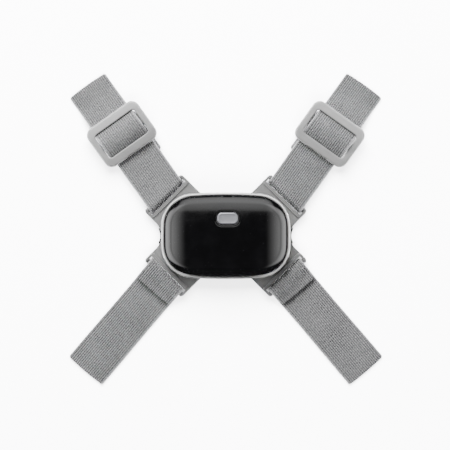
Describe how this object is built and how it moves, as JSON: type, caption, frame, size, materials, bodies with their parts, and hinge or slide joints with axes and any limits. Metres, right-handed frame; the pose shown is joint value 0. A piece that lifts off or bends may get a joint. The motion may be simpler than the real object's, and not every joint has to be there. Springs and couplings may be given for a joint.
{
  "type": "avalanche transceiver",
  "caption": "Small glossy round-cornered body-worn unit with a key on its face, in a light cradle whose four arms hold elastic webbing straps, the upper ones with adjusters.",
  "frame": {"origin": "centre of the pad face that rests on the wearer or the table", "axes": "+Z out of the unit's face, +Y towards the upper straps with the adjusters, +X across to the right-hand straps"},
  "size_m": [0.1794, 0.1784, 0.0167],
  "materials": {
    "cradle_plastic": "fine satin moulding",
    "pad_rubber": "matte",
    "shell_gloss": "polished",
    "shell_matte": "fine texture",
    "seal_rubber": "matte",
    "screw_steel": "plain",
    "key_plastic": "satin",
    "component_plastic": "matte",
    "board_laminate": "satin solder mask",
    "battery_foil": "satin",
    "foam": "open-cell",
    "lead_insulation": "smooth",
    "ferrite": "sintered",
    "copper_winding": "enamelled",
    "shield_metal": "tinned",
    "lens": "clear",
    "elastic_webbing": "ribbed knit",
    "thread": "twisted",
    "adjuster_plastic": "satin"
  },
  "bodies": {
    "harness": {"cradle": "cradle_plastic", "back_pad": "pad_rubber"},
    "transceiver": {"front_shell": "shell_gloss", "rear_shell": "shell_matte", "shell_seal": "seal_rubber", "case_screws": "screw_steel", "key_seal": "seal_rubber", "switch_body": "component_plastic", "main_board": "board_laminate", "battery_cell": "battery_foil", "battery_foam": "foam", "battery_plug": "component_plastic", "battery_leads": "lead_insulation", "long_antenna_core": "ferrite", "long_antenna_winding": "copper_winding", "cross_antenna_core": "ferrite", "cross_antenna_winding": "copper_winding", "flat_antenna_coil": "copper_winding", "radio_shield": "shield_metal", "radio_chip": "component_plastic", "buzzer": "component_plastic", "vibration_motor": "shield_metal", "status_light": "lens", "charging_socket": "shield_metal"},
    "key": {"power_key": "key_plastic", "switch_plunger": "key_plastic"},
    "upper_left_strap": {"upper_left_webbing": "elastic_webbing"},
    "upper_right_strap": {"upper_right_webbing": "elastic_webbing"},
    "lower_left_strap": {"lower_left_webbing": "elastic_webbing", "lower_left_stitching": "thread"},
    "lower_right_strap": {"lower_right_webbing": "elastic_webbing", "lower_right_stitching": "thread"},
    "upper_left_slide": {"upper_left_adjuster": "adjuster_plastic", "upper_left_stitching": "thread"},
    "upper_right_slide": {"upper_right_adjuster": "adjuster_plastic", "upper_right_stitching": "thread"}
  },
  "joints": [
    {"name": "unit_lift_out", "type": "slide", "parent": "harness", "child": "transceiver", "axis": [0, 0, 1], "range_m": [0, 0.022]},
    {"name": "key_press", "type": "slide", "parent": "transceiver", "child": "key", "axis": [0, 0, -1], "range_m": [0, 0.0005], "stiffness_N_per_m": 3000, "springref_m": -0.0003},
    {"name": "upper_left_swing", "type": "hinge", "parent": "harness", "child": "upper_left_strap", "pos_m": [-0.03472, 0.02376, 0.00275], "axis": [0.7071, 0.7071, 0], "range_deg": [-75, 90]},
    {"name": "upper_right_swing", "type": "hinge", "parent": "harness", "child": "upper_right_strap", "pos_m": [0.03472, 0.02376, 0.00275], "axis": [0.7071, -0.7071, 0], "range_deg": [-75, 90]},
    {"name": "lower_left_swing", "type": "hinge", "parent": "harness", "child": "lower_left_strap", "pos_m": [-0.03472, -0.02376, 0.00275], "axis": [-0.7071, 0.7071, 0], "range_deg": [-75, 90]},
    {"name": "lower_right_swing", "type": "hinge", "parent": "harness", "child": "lower_right_strap", "pos_m": [0.03472, -0.02376, 0.00275], "axis": [-0.7071, -0.7071, 0], "range_deg": [-75, 90]},
    {"name": "upper_left_adjust", "type": "slide", "parent": "upper_left_strap", "child": "upper_left_slide", "axis": [-0.5821, 0.8131, 0], "range_m": [-0.008, 0.008], "deforming": ["upper_left_webbing"]},
    {"name": "upper_right_adjust", "type": "slide", "parent": "upper_right_strap", "child": "upper_right_slide", "axis": [0.5821, 0.8131, 0], "range_m": [-0.008, 0.008], "deforming": ["upper_right_webbing"]}
  ]
}
